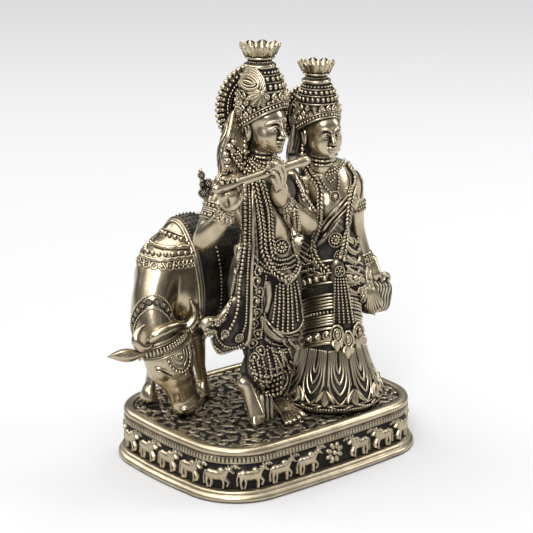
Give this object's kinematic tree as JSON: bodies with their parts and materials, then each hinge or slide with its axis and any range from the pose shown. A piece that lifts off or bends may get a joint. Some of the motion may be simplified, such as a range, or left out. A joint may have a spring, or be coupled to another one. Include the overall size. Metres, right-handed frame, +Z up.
{
  "type": "standing couple with cow figurine",
  "caption": "Cast brass group of a crowned flute player and his crowned companion before a humped cow, on a rounded plinth with a frieze of walking cows.",
  "frame": {"origin": "middle of the plinth's underside", "axes": "+Z up; the figures face -Y; +X to the right of someone who looks at the front"},
  "size_m": [0.127, 0.087, 0.1677],
  "materials": {
    "plinth_brass": "antique brass, dark patina in the hollows, satin heights",
    "krishna_brass": "antique brass, dark patina in the hollows, polished heights",
    "radha_brass": "antique brass, dark patina in the hollows, polished heights",
    "cow_brass": "antique brass, polished smooth skin, dark blanket and garlands"
  },
  "bodies": {
    "root": {"plinth": "plinth_brass", "krishna": "krishna_brass", "radha": "radha_brass", "cow": "cow_brass"}
  },
  "joints": []
}
